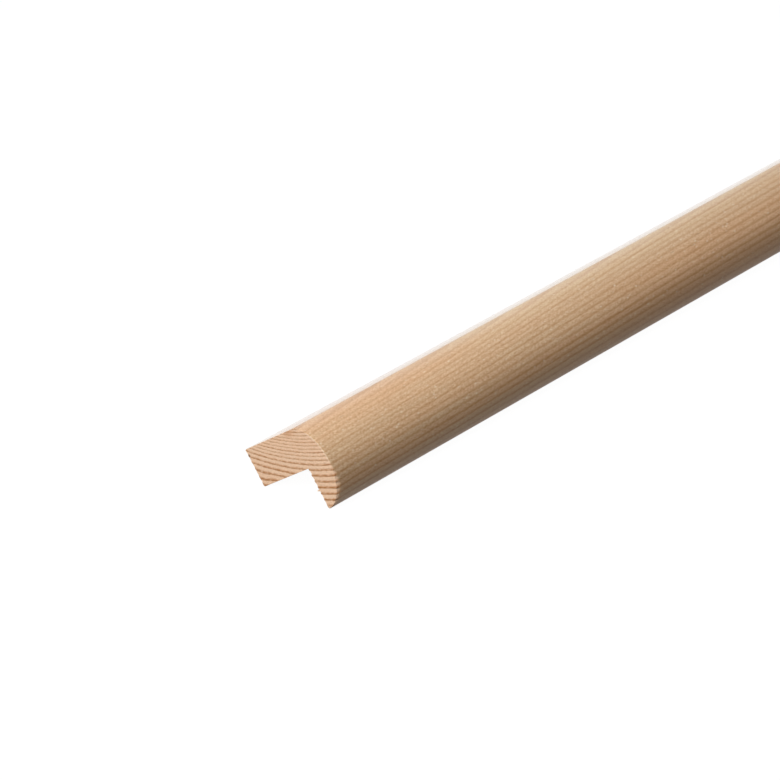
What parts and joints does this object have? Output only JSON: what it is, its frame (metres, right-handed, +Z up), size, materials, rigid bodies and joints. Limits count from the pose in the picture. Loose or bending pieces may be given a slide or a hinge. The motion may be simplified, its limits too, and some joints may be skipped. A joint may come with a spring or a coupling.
{
  "type": "outside corner moulding",
  "caption": "Straight timber corner moulding with a half-round nose and a rebate that seats over the outside corner of a wall, panel or board.",
  "frame": {"origin": "centre of the bounding box's bottom: midway along the length, on the floor that the moulding lies on with its rebate facing down", "axes": "+X along the length, away from the end that the picture shows; the half-round nose faces -Y; +Z up"},
  "size_m": [1, 0.036, 0.0201],
  "materials": {
    "pine": "planed, bare"
  },
  "bodies": {
    "root": {"corner_moulding": "pine"}
  },
  "joints": []
}
